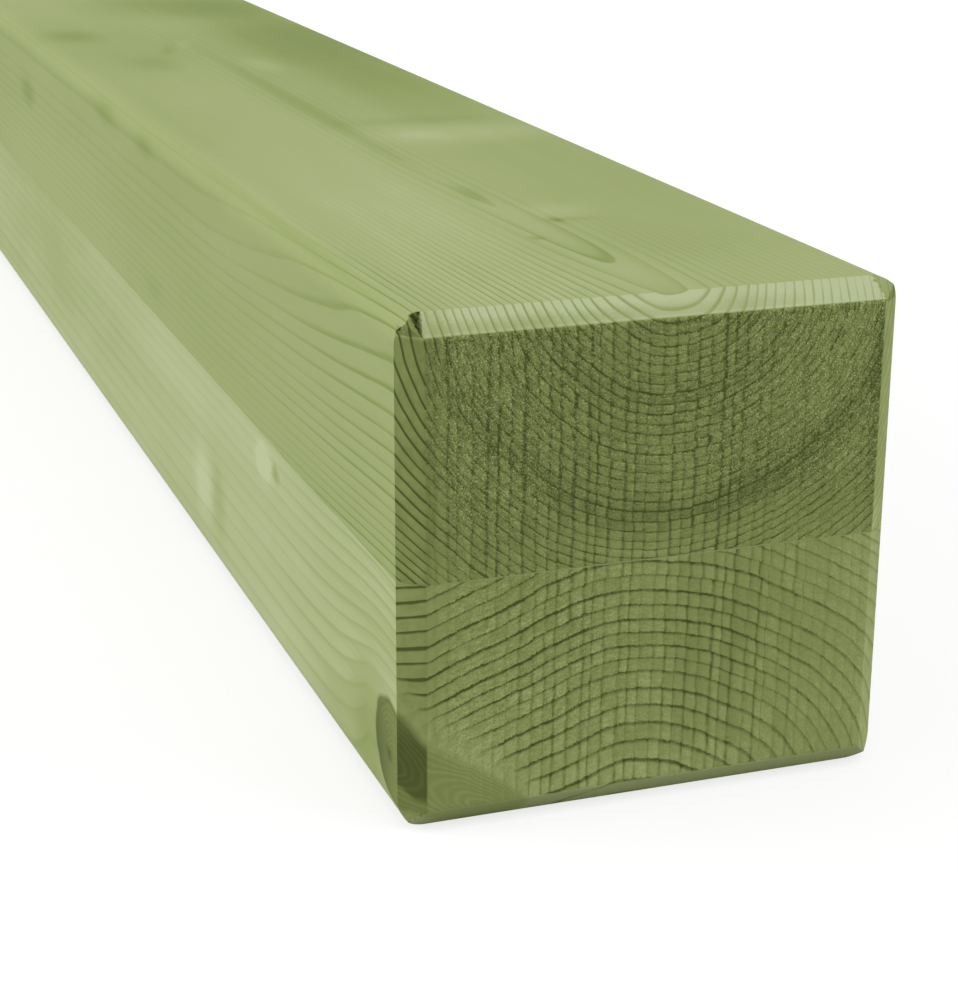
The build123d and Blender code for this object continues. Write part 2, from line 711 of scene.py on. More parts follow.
@dataclass(frozen=True)
class WoodFinish:
    """Green treated softwood: planed sides, sawn ends, growth rings, fibres and knots."""

    name: str
    planed: tuple[tuple[float, Colour], ...]
    sawn: tuple[tuple[float, Colour], ...]
    knot: tuple[tuple[float, Colour], ...]
    planed_tone: float
    sawn_tone: float
    planed_lines: float
    sawn_lines: float
    saw_shift: float
    torn: float
    saw_marks_shade: float
    ring_wander: float = 0.05
    groove_height: float = -0.08
    fuzz_height: float = 0.08
    line_height: float = 0.02
    bump_strength: float = 0.5
    shine: float = 0.05
    planed_roughness: float = 0.62
    sawn_roughness: float = 0.9

    def material(self, shape: PostShape, knot: Knot | None) -> bpy.types.Material:
        """Builds the procedural material.

        Args:
            shape: the post, which places the knot in the frame.
            knot: the board's knot, if it has one.

        Returns:
            The material, which reads the numbers stored in the lamination's mesh.
        """
        made = bpy.data.materials.new(self.name)
        made.use_nodes = True
        b = ShaderBench(made.node_tree)
        branch = self.branch(b, shape, knot)
        grain = self.grain(b, branch)
        across = b.number("across_grain")
        cell = self.cell(b, grain)
        groove = self.groove(b, grain.saw, cell)
        planed = b.palette(self.planed_tones(b, grain), self.planed)
        sawn = b.palette(self.sawn_tones(b, grain, cell, groove), self.sawn)
        colour = b.blend(across, planed, sawn)
        if knot:
            # The knot's edge is softer on the end grain than on the planed side.
            soft = b.scaled(across, 0.10, 0.06)
            core = b.rise(branch, b.math("ADD", soft, 1.0), b.rest(soft))
            colour = b.blend(core, colour, self.knot_colour(b, branch, knot, grain.cloud))
        height = b.scaled(grain.fuzz, self.fuzz_height, b.times(groove, self.groove_height))
        height = b.scaled(grain.line, self.line_height, height)
        self.surface(b, colour, across, height)
        return made

    def surface(self, b: ShaderBench, colour: Socket, across: Socket, height: Socket) -> None:
        """Joins the colour and the fine relief to the material's output.

        Args:
            b: the bench of the material.
            colour: the wood's colour.
            across: how much end grain shows, which is rougher.
            height: the relief, in millimetres.
        """
        bump = b.put("ShaderNodeBump")
        bump.inputs["Strength"].default_value = self.bump_strength
        bump.inputs["Distance"].default_value = MM
        b.feed(bump.inputs["Height"], height)
        surface = b.put("ShaderNodeBsdfPrincipled")
        b.feed(surface.inputs["Base Color"], colour)
        rougher = self.sawn_roughness - self.planed_roughness
        b.feed(surface.inputs["Roughness"], b.scaled(across, rougher, self.planed_roughness))
        b.feed(surface.inputs["Normal"], bump.outputs["Normal"])
        surface.inputs["Specular IOR Level"].default_value = self.shine
        output = b.put("ShaderNodeOutputMaterial")
        b.feed(output.inputs["Surface"], surface.outputs["BSDF"])

    def grain(self, b: ShaderBench, branch: Socket | float) -> Grain:
        """Works out what the planed and the sawn wood share.

        Args:
            b: the bench of the material.
            branch: how far out from the knot's axis each place is.

        Returns:
            The outputs.
        """
        sawn = b.math("ABSOLUTE", b.number("sawn"))
        torn = b.times(b.number("torn"), sawn)
        fuzz = b.times(b.field(FUZZ), torn)
        cloud = b.field(CLOUD)
        wander = b.field(RING_WANDER)
        even_ring = b.scaled(wander, self.ring_wander, b.number("ring"))
        saw = b.scaled(b.chance(b.math("ADD", even_ring, LINE_END)), 0.18, b.number("saw"))
        saw = b.scaled(b.field(SAW_WANDER), 0.07, saw)
        ring = self.sawn_ring(b, even_ring, saw, sawn, fuzz)
        line, shade = self.late_wood(b, ring, sawn, branch)
        tone = b.scaled(b.number("halo_tone"), b.rest(b.rise(branch, 1.1, 1.8)), b.number("tone"))
        return Grain(sawn, torn, fuzz, cloud, even_ring, ring, saw, line, shade, tone)

    def sawn_ring(self, b: ShaderBench, ring: Socket, saw: Socket, sawn: Socket, fuzz: Socket) -> Socket:
        """Makes the growth rings ragged on the sawn ends, and steps them a little from mark to mark.

        Args:
            b: the bench of the material.
            ring: the growth-ring count in the clean wood.
            saw: the saw-mark count.
            sawn: 1 on the flat of a sawn end.
            fuzz: fine fibres that stand up from it.

        Returns:
            The growth-ring count as the saw left it.
        """
        column = b.chance(b.math("ADD", saw, COUNT_BASE))
        stepped = b.times(sawn, b.scaled(column, 2 * self.saw_shift, -self.saw_shift))
        ragged = b.times(b.field(RAGGED_RINGS), sawn)
        ring = b.scaled(ragged, 0.045, b.math("ADD", ring, stepped))
        return b.scaled(fuzz, 0.10, ring)

    @staticmethod
    def late_wood(
        b: ShaderBench, ring: Socket, sawn: Socket, branch: Socket | float
    ) -> tuple[Socket, Socket]:
        """Finds each year's dark line, with some years thinner or fainter and none through the knot.

        Args:
            b: the bench of the material.
            ring: the growth-ring count.
            sawn: 1 on the flat of a sawn end.
            branch: how far out from the knot's axis each place is.

        Returns:
            How dark the late wood is, and how far into the year the wood is.
        """
        phase = b.math("FRACT", ring)
        chance = b.chance(b.math("ADD", ring, 0.5))
        year = b.scaled(chance, 0.28, 0.71)
        start = b.scaled(sawn, 0.03, b.scaled(chance, -0.10, 0.73))
        risen = b.rise(phase, start, b.math("ADD", start, 0.21))
        line = b.math("SUBTRACT", risen, b.rise(phase, 0.92, 1.0))
        shade = b.math("SUBTRACT", b.rise(phase, 0.2, 0.95), b.rise(phase, 0.95, 1.0))
        patchy = b.scaled(b.field(PATCHY_RINGS), 0.35, 0.9)
        clear = b.rise(branch, 1.3, 2.0)
        return b.times(b.times(line, year), b.times(patchy, clear)), shade

    def planed_tones(self, b: ShaderBench, grain: Grain) -> Socket:
        """Works out the planed sides' tone: growth lines, fibres, streaks and the listed marks.

        Args:
            b: the bench of the material.
            grain: what the planed and the sawn wood share.

        Returns:
            The tone, for the palette.
        """
        clear = b.number("line_strength")
        tone = b.scaled(b.times(grain.line, clear), -self.planed_lines, self.planed_tone)
        fibres = b.field(FIBRES)
        streaks = b.field(STREAKS)
        changes = (
            (b.times(grain.shade, b.number("core_shade")), -0.22),
            (b.times(grain.shade, clear), -0.05),
            (b.times(fibres, clear), 0.035),
            (streaks, 0.035),
            (grain.cloud, 0.04),
            (grain.tone, MARK_STRENGTH),
        )
        return self.changed(b, tone, changes)

    def sawn_tones(self, b: ShaderBench, grain: Grain, cell: Socket, groove: Socket) -> Socket:
        """Works out the sawn ends' tone: growth lines, saw marks, torn fibres and the listed marks.

        Args:
            b: the bench of the material.
            grain: what the planed and the sawn wood share.
            cell: a random number for each patch between two rings and two saw marks.
            groove: how deep in a saw mark each place is.

        Returns:
            The tone, for the palette.
        """
        hidden = b.field(HIDDEN_RINGS)
        hidden = b.times(b.rise(b.scaled(grain.torn, 1.8, hidden), 1.0, 2.5), 0.85)
        shown = b.times(grain.line, b.rest(b.times(hidden, grain.sawn)))
        blotch = b.field(BLOTCH)
        shown = b.times(shown, b.scaled(b.times(blotch, grain.sawn), 0.5, 1.0))
        tone = b.scaled(shown, b.times(b.number("sawn_lines"), -self.sawn_lines), self.sawn_tone)
        bevelled = b.math("SUBTRACT", b.number("across_grain"), grain.sawn)
        rough = b.scaled(bevelled, 0.9, b.scaled(grain.torn, 0.8, 0.2))
        tears = b.times(b.noise(self.along_rings(b, grain.even_ring), 2.0, 0.7), grain.torn)
        changes = (
            (grain.shade, -0.05),
            (groove, -self.saw_marks_shade),
            (b.times(b.rest(groove), b.rest(shown)), 0.07),
            (b.times(b.scaled(cell, 1.0, -0.5), b.number("saw_mark")), 0.14),
            (b.times(blotch, rough), 0.12),
            (grain.fuzz, self.torn),
            (tears, self.torn),
            (b.rise(grain.fuzz, 0.38, 0.8), 0.32),
            (grain.cloud, 0.06),
            (grain.tone, MARK_STRENGTH),
        )
        return self.changed(b, tone, changes)

    @staticmethod
    def changed(b: ShaderBench, tone: Socket, changes: tuple[tuple[Socket, float], ...]) -> Socket:
        """Adds changes to a tone.

        Args:
            b: the bench of the material.
            tone: the tone.
            changes: each change, with how strong it is.

        Returns:
            The changed tone.
        """
        for change, strength in changes:
            tone = b.scaled(change, strength, tone)
        return tone

    @staticmethod
    def along_rings(b: ShaderBench, ring: Socket) -> Socket:
        """Finds places for noise that is drawn out along the growth rings.

        Args:
            b: the bench of the material.
            ring: the growth-ring count.

        Returns:
            The vector's socket.
        """
        split = b.put("ShaderNodeSeparateXYZ")
        b.feed(split.inputs[0], b.stretched(0.7, 0.7, 0.7))
        joined = b.put("ShaderNodeCombineXYZ")
        b.feed(joined.inputs["X"], b.times(ring, 4.5))
        b.feed(joined.inputs["Y"], split.outputs["X"])
        b.feed(joined.inputs["Z"], split.outputs["Z"])
        return joined.outputs[0]

    @staticmethod
    def cell(b: ShaderBench, grain: Grain) -> Socket:
        """A random number for each patch of end grain between two growth rings and two saw marks.

        Args:
            b: the bench of the material.
            grain: what the planed and the sawn wood share.

        Returns:
            The random number's socket, from 0 to 1.
        """
        year = b.math("FLOOR", b.math("ADD", grain.ring, LINE_END))
        column = b.math("FLOOR", b.math("ADD", grain.saw, COUNT_BASE))
        return b.chance(b.scaled(column, MARKS_APART, year))

    @staticmethod
    def groove(b: ShaderBench, saw: Socket, cell: Socket) -> Socket:
        """Finds the saw marks' dark lines, each one darker or fainter than the next.

        Args:
            b: the bench of the material.
            saw: the saw-mark count.
            cell: a random number for each patch between two rings and two saw marks.

        Returns:
            How deep in a mark each place is, from 0 for none.
        """
        near = b.math("PINGPONG", b.math("ADD", saw, COUNT_BASE), 0.5)
        chance = b.chance(b.math("ADD", saw, COUNT_BASE + 0.5))
        groove = b.rest(b.rise(near, 0.01, b.scaled(chance, 0.08, 0.18)))
        groove = b.times(b.times(groove, b.number("saw_mark")), b.scaled(chance, 0.5, 0.65))
        groove = b.times(groove, b.scaled(b.field(SAW_PRESSURE), 0.5, 0.9))
        return b.times(groove, b.scaled(cell, 0.8, 0.4))

    @staticmethod
    def branch(b: ShaderBench, shape: PostShape, knot: Knot | None) -> Socket | float:
        """Finds how far out from the knot's axis each place is.

        Args:
            b: the bench of the material.
            shape: the post, which places the knot in the frame.
            knot: the board's knot, if it has one.

        Returns:
            1 at the knot's edge, less inside it, and a large number where there is none.
        """
        if not knot:
            return 9.0
        apex = (Vector(knot.apex) + Vector((0, -shape.length / 2, shape.height / 2))) * MM
        reach = b.vector("SUBTRACT", b.put("ShaderNodeTexCoord").outputs["Object"], apex)
        reach = b.vector("NORMALIZE", b.vector("MULTIPLY", reach, (1.0, 1 / knot.tallness, 1.0)))
        angle = b.math("ARCCOSINE", b.vector("DOT_PRODUCT", reach, tuple(knot.direction())))
        share = b.times(angle, float(np.degrees(1)) / knot.half_angle)
        return b.scaled(b.field(KNOT_EDGE), 0.035, share)

    def knot_colour(self, b: ShaderBench, branch: Socket, knot: Knot, cloud: Socket) -> Socket:
        """Works out the knot's colour.

        Args:
            b: the bench of the material.
            branch: how far out from the knot's axis each place is.
            knot: the knot.
            cloud: slow changes of tone.

        Returns:
            The colour, with the branch's own rings and its darker edge.
        """
        bend = b.field(KNOT_BEND)
        bent = b.scaled(bend, 0.6, b.times(branch, knot.inner_rings))
        phase = b.math("FRACT", bent)
        ring = b.math("SUBTRACT", b.rise(phase, 0.2, 0.6), b.rise(phase, 0.6, 1.0))
        base = b.number("knot_tone")
        darker = b.math("SUBTRACT", 0.66, base)
        light = b.scaled(darker, 0.08, b.scaled(b.chance(bent), 0.07, 0.05))
        off_the_end = b.rest(b.math("ABSOLUTE", b.number("sawn")))
        rim = b.times(b.rise(branch, 0.78, 0.98), off_the_end)
        tone = b.scaled(ring, light, base)
        changes = ((rim, -0.10), (cloud, 0.05), (b.number("tone"), MARK_STRENGTH))
        return b.palette(self.changed(b, tone, changes), self.knot)


@dataclass(frozen=True)
class GlueFinish:
    """The cured glue line: a pale, slightly glossy film, stained green by the treatment."""

    name: str = "cured_glue"
    pale: Colour = (172.0, 184.0, 128.0)
    stained: Colour = (140.0, 152.0, 96.0)

    def material(self) -> bpy.types.Material:
        """Builds the procedural material.

        Returns:
            The material, mottled along the line.
        """
        made = bpy.data.materials.new(self.name)
        made.use_nodes = True
        b = ShaderBench(made.node_tree)
        mottle = b.field(GLUE_MOTTLE)
        colour = b.palette(b.scaled(mottle, 0.3, 0.5), ((0.0, self.stained), (1.0, self.pale)))
        bump = b.put("ShaderNodeBump")
        bump.inputs["Distance"].default_value = 0.05 * MM
        b.feed(bump.inputs["Height"], mottle)
        surface = b.put("ShaderNodeBsdfPrincipled")
        b.feed(surface.inputs["Base Color"], colour)
        b.feed(surface.inputs["Normal"], bump.outputs["Normal"])
        surface.inputs["Roughness"].default_value = 0.5
        surface.inputs["Specular IOR Level"].default_value = 0.15
        output = b.put("ShaderNodeOutputMaterial")
        b.feed(output.inputs["Surface"], surface.outputs["BSDF"])
        return made


@dataclass(frozen=True)
class SawMarks:
    """Upright saw marks on a sawn end: their uneven spacing, their lean and how deep they are cut."""

    pitch: float = 2.2
    unevenness: float = 0.3
    lean: float = 0.012
    depth: float = 0.11
    tear_depth: float = 0.12
    tear_size: float = 0.55
    seed: int = 7

    def lines(self, reach: float) -> tuple[Array, Array]:
        """Where the marks cross the middle of the end.

        Args:
            reach: how far from the middle they go.

        Returns:
            The marks' numbers and their places across the end.
        """
        count = int(reach / self.pitch) + 2
        number = np.arange(-count, count + 1)
        wander = np.sin(1.7 * number) + 0.6 * np.sin(4.1 * number + 1.0)
        return number, number * self.pitch + self.unevenness * wander

    def relief(self, finish: bpy.types.Material) -> bpy.types.NodeTree:
        """Builds the geometry nodes that cut the marks and tear the end grain.

        Args:
            finish: the wood's material, set on the result.

        Returns:
            The node group, with its sizes as inputs.
        """
        tree = bpy.data.node_groups.new("sawn_end_relief", "GeometryNodeTree")
        tree.interface.new_socket("Geometry", in_out="OUTPUT", socket_type="NodeSocketGeometry")
        tree.interface.new_socket("Geometry", in_out="INPUT", socket_type="NodeSocketGeometry")
        sizes = (("Mark Depth", self.depth * MM), ("Tear Depth", self.tear_depth * MM),
                 ("Tear Size", self.tear_size * MM), ("Seed", float(self.seed)))
        for label, value in sizes:
            size = tree.interface.new_socket(label, in_out="INPUT", socket_type="NodeSocketFloat")
            size.default_value = value
        b = NodeBench(tree)
        given = b.put("NodeGroupInput").outputs
        sawn, torn, saw, mark = (self.stored(b, key) for key in ("sawn", "torn", "saw", "saw_mark"))
        near = b.math("PINGPONG", b.math("ADD", saw, COUNT_BASE), 0.5)
        falloff = b.rest(b.math("MINIMUM", b.times(near, 6.0), 1.0))
        groove = b.times(b.times(falloff, mark), given["Mark Depth"])
        noise = b.put("ShaderNodeTexNoise", noise_dimensions="4D")
        b.feed(noise.inputs["W"], given["Seed"])
        b.feed(noise.inputs["Scale"], b.math("DIVIDE", 1.0, given["Tear Size"]))
        noise.inputs["Detail"].default_value = 1.0
        pit = b.times(b.times(noise.outputs["Fac"], torn), given["Tear Depth"])
        depth = b.times(b.math("ADD", groove, pit), sawn)
        offset = b.put("ShaderNodeCombineXYZ")
        b.feed(offset.inputs["Y"], depth)
        move = b.put("GeometryNodeSetPosition")
        b.feed(move.inputs["Geometry"], given["Geometry"])
        b.feed(move.inputs["Offset"], offset.outputs[0])
        realize = b.put("GeometryNodeRealizeInstances")
        b.feed(realize.inputs["Geometry"], move.outputs["Geometry"])
        dress = b.put("GeometryNodeSetMaterial")
        b.feed(dress.inputs["Geometry"], realize.outputs["Geometry"])
        dress.inputs["Material"].default_value = finish
        output = b.put("NodeGroupOutput")
        b.feed(output.inputs["Geometry"], dress.outputs["Geometry"])
        return tree

    @staticmethod
    def stored(bench: NodeBench, name: str) -> Socket:
        """Reads one of the mesh's own numbers in geometry nodes.

        Args:
            bench: the bench of the tree.
            name: the number's name.

        Returns:
            The number's socket.
        """
        node = bench.put("GeometryNodeInputNamedAttribute", data_type="FLOAT")
        node.inputs["Name"].default_value = name
        return node.outputs["Attribute"]


def evaluated(piece: bpy.types.Object, tree: bpy.types.NodeTree) -> bpy.types.Object:
    """Runs a geometry nodes tree on a piece and keeps the result as its plain mesh.

    Args:
        piece: the object to change.
        tree: the node group to run.

    Returns:
        The same object, with no modifier left on it.
    """
    modifier = piece.modifiers.new(tree.name, "NODES")
    modifier.node_group = tree
    for item in tree.interface.items_tree:
        if item.in_out == "INPUT" and item.socket_type == "NodeSocketFloat":
            modifier[item.identifier] = item.default_value
    depsgraph = bpy.context.evaluated_depsgraph_get()
    result = bpy.data.meshes.new_from_object(piece.evaluated_get(depsgraph), depsgraph=depsgraph)
    piece.modifiers.remove(modifier)
    old = piece.data
    piece.data = result
    bpy.data.meshes.remove(old)
    result.name = piece.name
    return piece


@dataclass(frozen=True)
class BevelLook:
    """How much end grain one of the ends' bevels shows, and how much paler or darker it is, partly its own
    colour and partly painted light and shade for the way it faces the lamps.
    """

    grain: float
    # Partly painted light and shade.
    pale: float


@dataclass(frozen=True)
class Zones:
    """Where each vertex of a board lies, with shares from 0 to 1 for the parts of its ends.

    Attributes:
        x: place across the post.
        y: distance from the near end.
        z: height above the glue line.
        out_x: how far it lies sideways beyond the ends' flat part.
        out_z: how far it lies above or below that part.
        from_end: distance from the closer end.
        on_end: 1 on the near end, -1 on the far end and 0 between them.
        rim: how far it lies beyond the edge of an end's flat face.
        face: the share of flat sawn face.
        bevel: the share of bevel.
    """

    x: Array
    y: Array
    z: Array
    out_x: Array
    out_z: Array
    from_end: Array
    on_end: Array
    rim: Array
    face: Array
    bevel: Array

    @property
    def end(self) -> Array:
        """1 on both ends, with their bevels, and 0 between them."""
        return np.abs(self.on_end)

    @property
    def near(self) -> Array:
        """Whether it is on the near end or close to it."""
        return self.y < END_REACH

    @property
    def upright(self) -> Array:
        """Whether it is nearer to the top or the underside than to the left or right side."""
        return self.out_z > self.out_x

    @property
    def along(self) -> Array:
        """How far along the planed sides it is, from just behind the end's bevels."""
        return np.maximum(self.from_end - 8, 0)


@dataclass(frozen=True)
class Lamination:
    """One planed board of the post, with both of its ends sawn and bevelled."""

    name: str
    shape: PostShape
    layer: Layer
    glue_face: float
    rings: GrowthRings
    finish: WoodFinish
    saw_marks: SawMarks
    bevels: dict[Side, BevelLook]
    marks: tuple[Mark, ...] = ()
    knot: Knot | None = None
    top_rim: float = 0.5
    side_step: float = 1.05

    def columns(self, fine: bool) -> tuple[Array, Array]:
        """Finds places across the end for the grid's columns, with several on each saw mark.

        Args:
            fine: whether the columns are close enough for the near end.

        Returns:
            The columns' places and the saw-mark count at each.
        """
        half, flat = self.shape.width / 2, self.shape.flat
        number, line = self.saw_marks.lines(half)
        parts = np.array((-0.14, 0.0, 0.14, 0.38, 0.62) if fine else (-0.14, 0.0, 0.14, 0.5))
        count = (number[:, None] + parts).ravel()
        place = np.interp(count, number, line)
        inside = place[np.abs(place) < flat - 0.75]
        edge = self.edge_steps(half, 0.33 if fine else 0.66)
        broken = fine and self.layer is Layer.UPPER
        corner = np.arange(self.shape.hollow_left - 1.5, self.shape.hollow_right + 0.4, 0.13)
        place = self.spaced(np.concatenate([-edge, inside, edge, corner if broken else []]))
        return place, np.interp(place, line, number)

    def edge_steps(self, half: float, spacing: float) -> Array:
        """Finds places from just inside an arris out to the side, closer at the arris.

        Args:
            half: how far out the side lies.
            spacing: the places' distance beyond the arris.

        Returns:
            The places, rising.
        """
        flat = half - self.shape.end_bevel
        close = flat + np.array((-0.5, -0.25, -0.1, 0.0, 0.1, 0.25, 0.5))
        return np.concatenate([close, np.linspace(flat + 0.5, half, int(3.5 / spacing) + 1)[1:]])

    def rows(self, fine: bool) -> Array:
        """Finds heights for the grid's rows, from the glue face out to the planed side.

        Args:
            fine: whether the rows are close enough for the near end.

        Returns:
            The heights.
        """
        half = self.shape.height / 2
        flat = half - self.shape.end_bevel
        inner = np.linspace(self.glue_face, flat - 0.75, int(flat / (0.5 if fine else 0.9)))
        edge = self.edge_steps(half, 0.5)
        broken = fine and self.layer is Layer.UPPER
        close = np.arange(flat + 0.13, half - 0.05, 0.13) if broken else []
        return self.layer.value * self.spaced(np.concatenate([inner, edge, close]))

    @staticmethod
    def spaced(places: Array) -> Array:
        """Sorts places and leaves out those that nearly touch the one before.

        Args:
            places: the places.

        Returns:
            Those that stay, rising.
        """
        places = np.sort(places)
        kept = np.diff(places, prepend=places[0] - 1) > 0.045
        kept[-1] = True
        return places[kept]

    def add_end(self, maker: MeshMaker, near: bool) -> tuple[Array, Array]:
        """Adds one sawn end as a grid.

        Args:
            maker: the mesh being gathered.
            near: whether this is the near end, with the broken corner.

        Returns:
            The grid of vertex numbers, and the saw-mark count at each vertex.
        """
        place, saw = self.columns(near)
        height = self.rows(near)
        x, z = (part.ravel() for part in np.meshgrid(place, height, indexing="ij"))
        saw = np.repeat(saw, len(height))
        flat = self.shape.flat
        x = x + self.saw_marks.lean * z * step(np.abs(x), flat - 1.0, flat - 12.0)
        x, z = self.shape.rounded(x, z)
        broken = near and self.layer is Layer.UPPER
        depth = self.shape.broken_depth(x, z) if broken else self.shape.bevel_depth(x, z)
        y = depth if near else self.shape.length - depth
        grid = maker.add(np.stack([x, y, z], axis=1)).reshape(len(place), len(height))
        maker.cover(grid)
        return grid, saw

    def stations(self) -> Array:
        """Finds places along the post for the sides' rows, close in the near part and wide apart beyond it.

        Returns:
            The places, rising.
        """
        near = np.concatenate([np.arange(7.0, 16.0, 1.0), np.arange(16.0, 160.0, 2.0)])
        middle = np.arange(160.0, 480.0, 4.0)
        far = np.linspace(480.0, self.shape.length - 8.0, 130)
        return np.concatenate([near, middle, far])

    def outline(self, grid: Array) -> Array:
        """The vertex numbers round an end, from the right of the glue face to its left."""
        return np.concatenate([grid[-1, :-1], grid[:0:-1, -1], grid[0, ::-1]])

    def build(self) -> bpy.types.Object:
        """Makes the whole board.

        Returns:
            The board, with its finish, its sawn relief and its numbers for the finish.
        """
        maker = MeshMaker()
        near, near_saw = self.add_end(maker, True)
        far, far_saw = self.add_end(maker, False)
        points = np.concatenate(maker.blocks)
        rim = self.outline(near)
        rim_at = self.travelled(points[rim])
        far_rim = self.outline(far)
        far_at = self.travelled(points[far_rim])
        far_at = far_at * rim_at[-1] / far_at[-1]
        column_at = np.linspace(0, rim_at[-1], int(rim_at[-1] / self.side_step) + 1)
        x, start, z = (np.interp(column_at, rim_at, points[rim, axis]) for axis in range(3))
        stations = self.stations()
        end = self.shape.length - self.shape.bevel_depth(x, z)
        between = (np.full(len(x), station) for station in stations)
        levels = [start + 0.2, start + 1.7, *between, end - 1.7, end - 0.2]
        y = np.array(levels)
        sides = maker.add(np.stack([np.tile(x, len(y)), y.ravel(), np.tile(z, len(y))], axis=1))
        sides = sides.reshape(len(y), len(x))
        maker.cover(sides)
        maker.zip_rows(rim, rim_at, sides[0], column_at)
        maker.zip_rows(far_rim, far_at, sides[-1], column_at)
        maker.cover(np.stack([sides[:, 0], sides[:, -1]], axis=1))
        ends = np.array([0.0, 1.0])
        for grid, row in ((near, sides[0]), (far, sides[-1])):
            glue_row = grid[::-1, 0]
            maker.zip_rows(glue_row, np.linspace(0, 1, len(glue_row)), row[[0, -1]], ends)
        saw = np.zeros(maker.total)
        saw[near.ravel()] = near_saw
        saw[far.ravel()] = far_saw
        numbers = self.numbers(np.concatenate(maker.blocks), saw, near, far)
        piece = maker.build(self.name, self.shape, numbers)
        return evaluated(piece, self.saw_marks.relief(self.finish.material(self.shape, self.knot)))

    @staticmethod
    def travelled(path: Array) -> Array:
        """How far round the outline each point is, seen from the end."""
        steps = np.hypot(*np.diff(path[:, (0, 2)], axis=0).T)
        return np.concatenate([[0], np.cumsum(steps)])

    def numbers(self, points: Array, saw: Array, near: Array, far: Array) -> dict[str, Array]:
        """Works out what the finish reads at each vertex.

        Args:
            points: all vertices.
            saw: the saw-mark count at each.
            near: vertex numbers of the near end.
            far: vertex numbers of the far end.

        Returns:
            A number for each vertex, under each attribute's name.
        """
        zones = self.zones(points, near, far)
        x, face, bevel = zones.x, zones.face, zones.bevel
        grain, pale = self.bevel_looks(zones)
        lost = zones.end * step(zones.from_end - self.shape.bevel_depth(x, zones.z), 0.1, 0.5)
        chip = self.chipped(zones)
        ring = self.rings.count(points, self.knot)
        years = self.rings.year_tone(ring) * (face * (0.45 + 0.55 * step(x, -24.0, 0.0)) + 0.4 * bevel)
        marks = sum((mark.tone(points, self.shape) for mark in self.marks), np.zeros(len(points)))
        return {
            "ring": ring,
            "across_grain": np.clip(face + bevel * grain + lost + chip, 0, 1),
            "sawn": zones.on_end * face,
            "saw": saw,
            "saw_mark": face * self.marked_share(x),
            "torn": self.torn_share(x, zones.z),
            "sawn_lines": self.sawn_line_strength(zones),
            "line_strength": self.planed_line_strength(zones),
            "core_shade": self.core_shade(zones, ring),
            "halo_tone": 0.12 * face + 0.05 * (1 - face),
            # The tone holds painted light and shade: part of the bevels' paleness, the edges' highlight and
            # shadows, and the shade in the broken corner.
            "tone": marks + years + pale * bevel * (1 - chip) + self.edge_tone(zones)
            + self.right_corner_tone(zones) + self.broken_corner_tone(zones, lost, chip),
            "knot_tone": self.knot_tone(zones),
        }

    def zones(self, points: Array, near: Array, far: Array) -> Zones:
        """Sorts the vertices by the part of the board that they lie on.

        Args:
            points: all vertices.
            near: vertex numbers of the near end.
            far: vertex numbers of the far end.

        Returns:
            Where each vertex lies.
        """
        x, y, z = points.T
        out_x, out_z = np.abs(x) - self.shape.flat, np.abs(z) - self.shape.flat
        outside = np.maximum(out_x, out_z)
        from_end = np.minimum(y, self.shape.length - y)
        rim = outside - self.top_rim * (out_z > out_x) * (z > 0)
        on_end = np.zeros(len(points))
        on_end[near.ravel()] = 1
        on_end[far.ravel()] = -1
        face = np.abs(on_end) * step(rim, 0.12, -0.12)
        bevel = np.abs(on_end) * (1 - face) * step(from_end - outside, 0.9, 0.2)
        return Zones(x, y, z, out_x, out_z, from_end, on_end, rim, face, bevel)

    def bevel_looks(self, zones: Zones) -> tuple[Array, Array]:
        """The looks of the bevel on each vertex's side of the post.

        Args:
            zones: where each vertex lies.

        Returns:
            How much end grain the bevel shows there, and how much paler it is, partly painted light and
            shade.
        """
        sideways = ~zones.upright
        on_side = [sideways & (zones.x < 0), sideways, zones.z > 0]
        looks = [self.bevels[side] for side in (Side.LEFT, Side.RIGHT, Side.TOP)]
        under = self.bevels[Side.UNDER]
        grain = np.select(on_side, [look.grain for look in looks], under.grain)
        pale = np.select(on_side, [look.pale for look in looks], under.pale)
        return grain, pale

    def chipped(self, zones: Zones) -> Array:
        """Finds where the outer ring of the near end's upper left corner is chipped off.

        Args:
            zones: where each vertex lies.

        Returns:
            A share from 0 to 1.
        """
        wall = self.shape.hollow_wall(zones.z)
        foot = self.shape.corner_foot
        outside = step(zones.x, wall + 0.1, wall - 0.1)
        return zones.end * zones.near * outside * step(zones.z, foot, foot + 0.3)

    def broken_corner_tone(self, zones: Zones, lost: Array, chip: Array) -> Array:
        """How much paler or darker the broken corner and its torn edges are, with painted shade in the
        splinter's hollow and along its wall.

        Args:
            zones: where each vertex lies.
            lost: where the splinter has left its hollow.
            chip: where the outer ring is chipped off.

        Returns:
            The tone, positive where paler.
        """
        x, z = zones.x, zones.z
        wall = self.shape.hollow_wall(z)
        foot = self.shape.corner_foot
        torn_edge = zones.bevel * zones.near * (x < -41.3) * np.exp(-(((z - foot) / 0.18) ** 2))
        # Painted shade along the hollow's wall.
        wall_shade = zones.end * zones.near * step(z, foot, foot + 0.4) * np.exp(-(((x - wall) / 0.35) ** 2))
        # The hollow's darkening (lost) is painted shade.
        return 0.9 * torn_edge - 0.7 * lost * (1 - chip) - 0.5 * chip - 0.4 * wall_shade

    def right_corner_tone(self, zones: Zones) -> Array:
        """How much darker the near end's upper right corner is, where its bevel is torn.

        Args:
            zones: where each vertex lies.

        Returns:
            The tone, negative where darker.
        """
        x, z = zones.x, zones.z
        beyond = x - 41.5 + 0.3 * (z - 41) + 0.12 * np.sin(5.0 * z)
        there = zones.bevel * zones.near * (z > self.shape.flat)
        nicks = there * np.exp(-((beyond / 0.22) ** 2)) * (0.5 + 0.5 * np.sin(8.0 * z))
        mottle = 1.1 + 0.4 * np.sin(9.0 * x + 7.0 * z)
        return -mottle * there * step(beyond, -0.1, 0.1) - 1.2 * nicks

